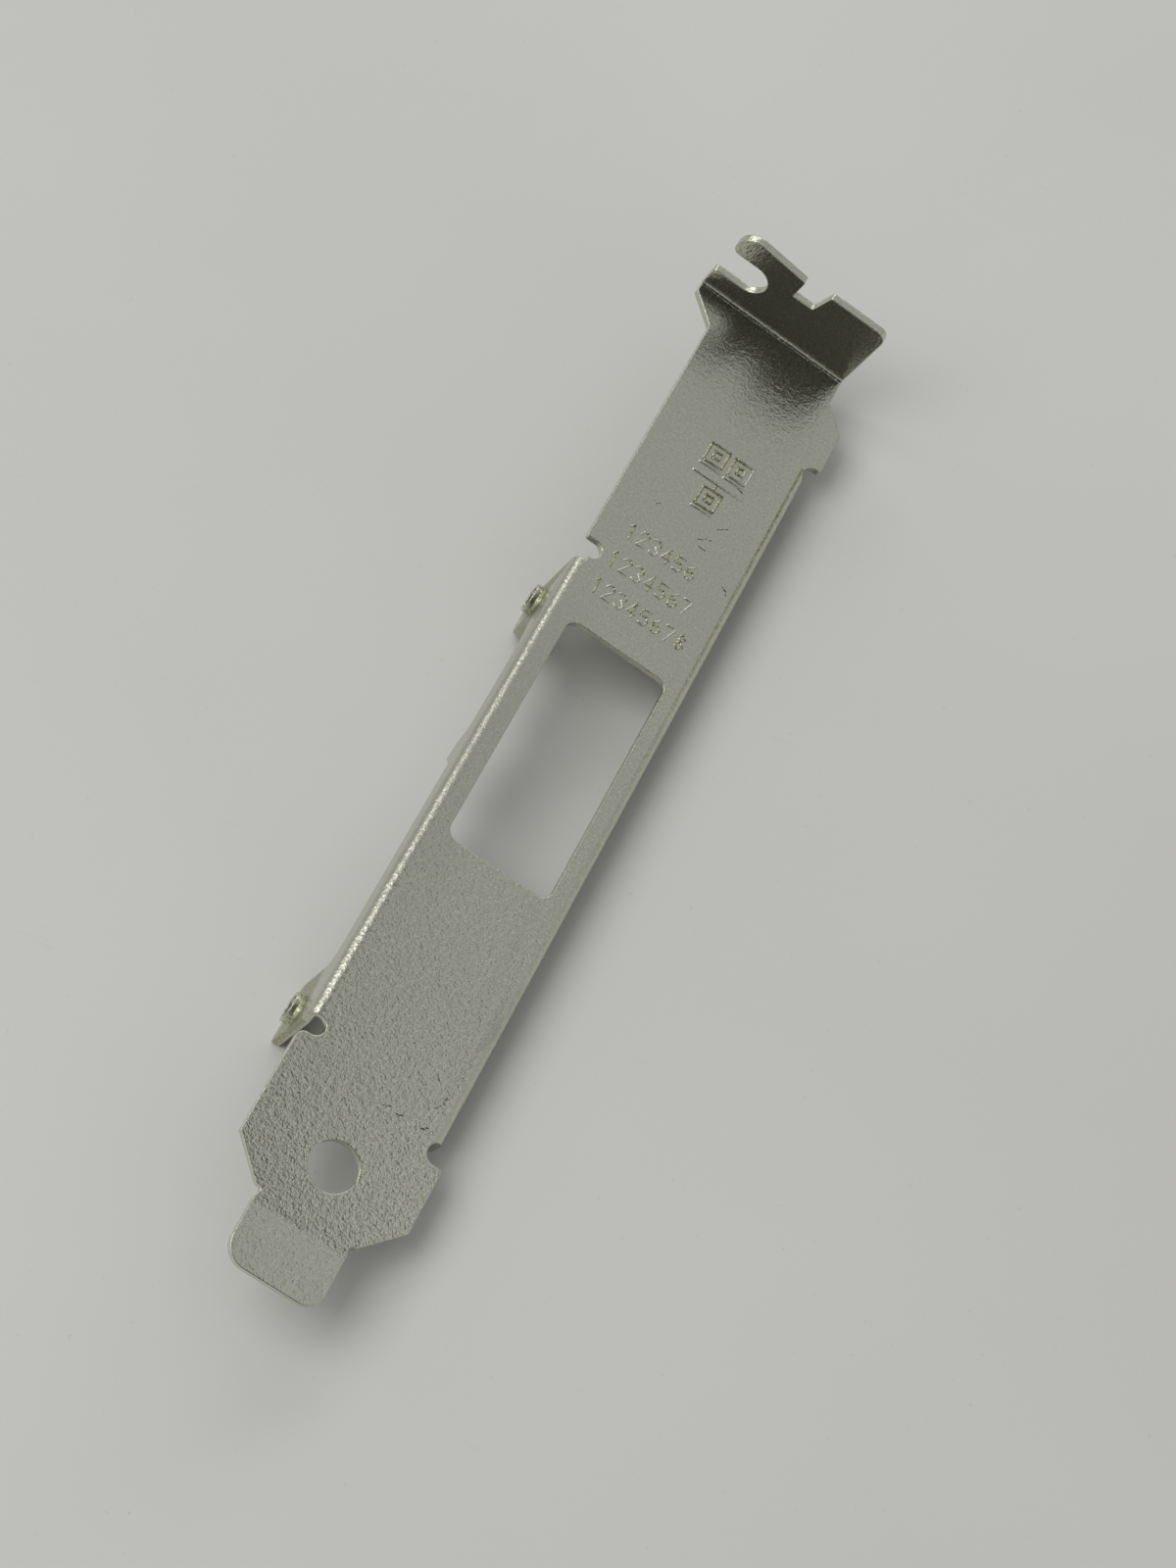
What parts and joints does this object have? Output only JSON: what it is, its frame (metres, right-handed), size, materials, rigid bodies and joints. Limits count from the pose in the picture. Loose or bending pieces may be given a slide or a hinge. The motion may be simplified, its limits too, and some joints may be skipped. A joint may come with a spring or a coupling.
{
  "type": "pci slot cover bracket",
  "caption": "Full-height expansion-slot cover bracket folded from one plated steel sheet: slotted screw tab, connector window, low side walls, threaded board ears, foot tongue.",
  "frame": {"origin": "on the open screw slot's axis, on the tab's inner face, which seats on the case's ledge", "axes": "+X across the bracket away from the threaded ears, +Y along it from the tongue up through the tab, +Z out of the front face, the way the tab points"},
  "size_m": [0.0215, 0.1201, 0.0236],
  "materials": {
    "plated_steel": "satin nickel-plated sheet steel, lightly worn"
  },
  "bodies": {
    "root": {"bracket": "plated_steel"}
  },
  "joints": []
}
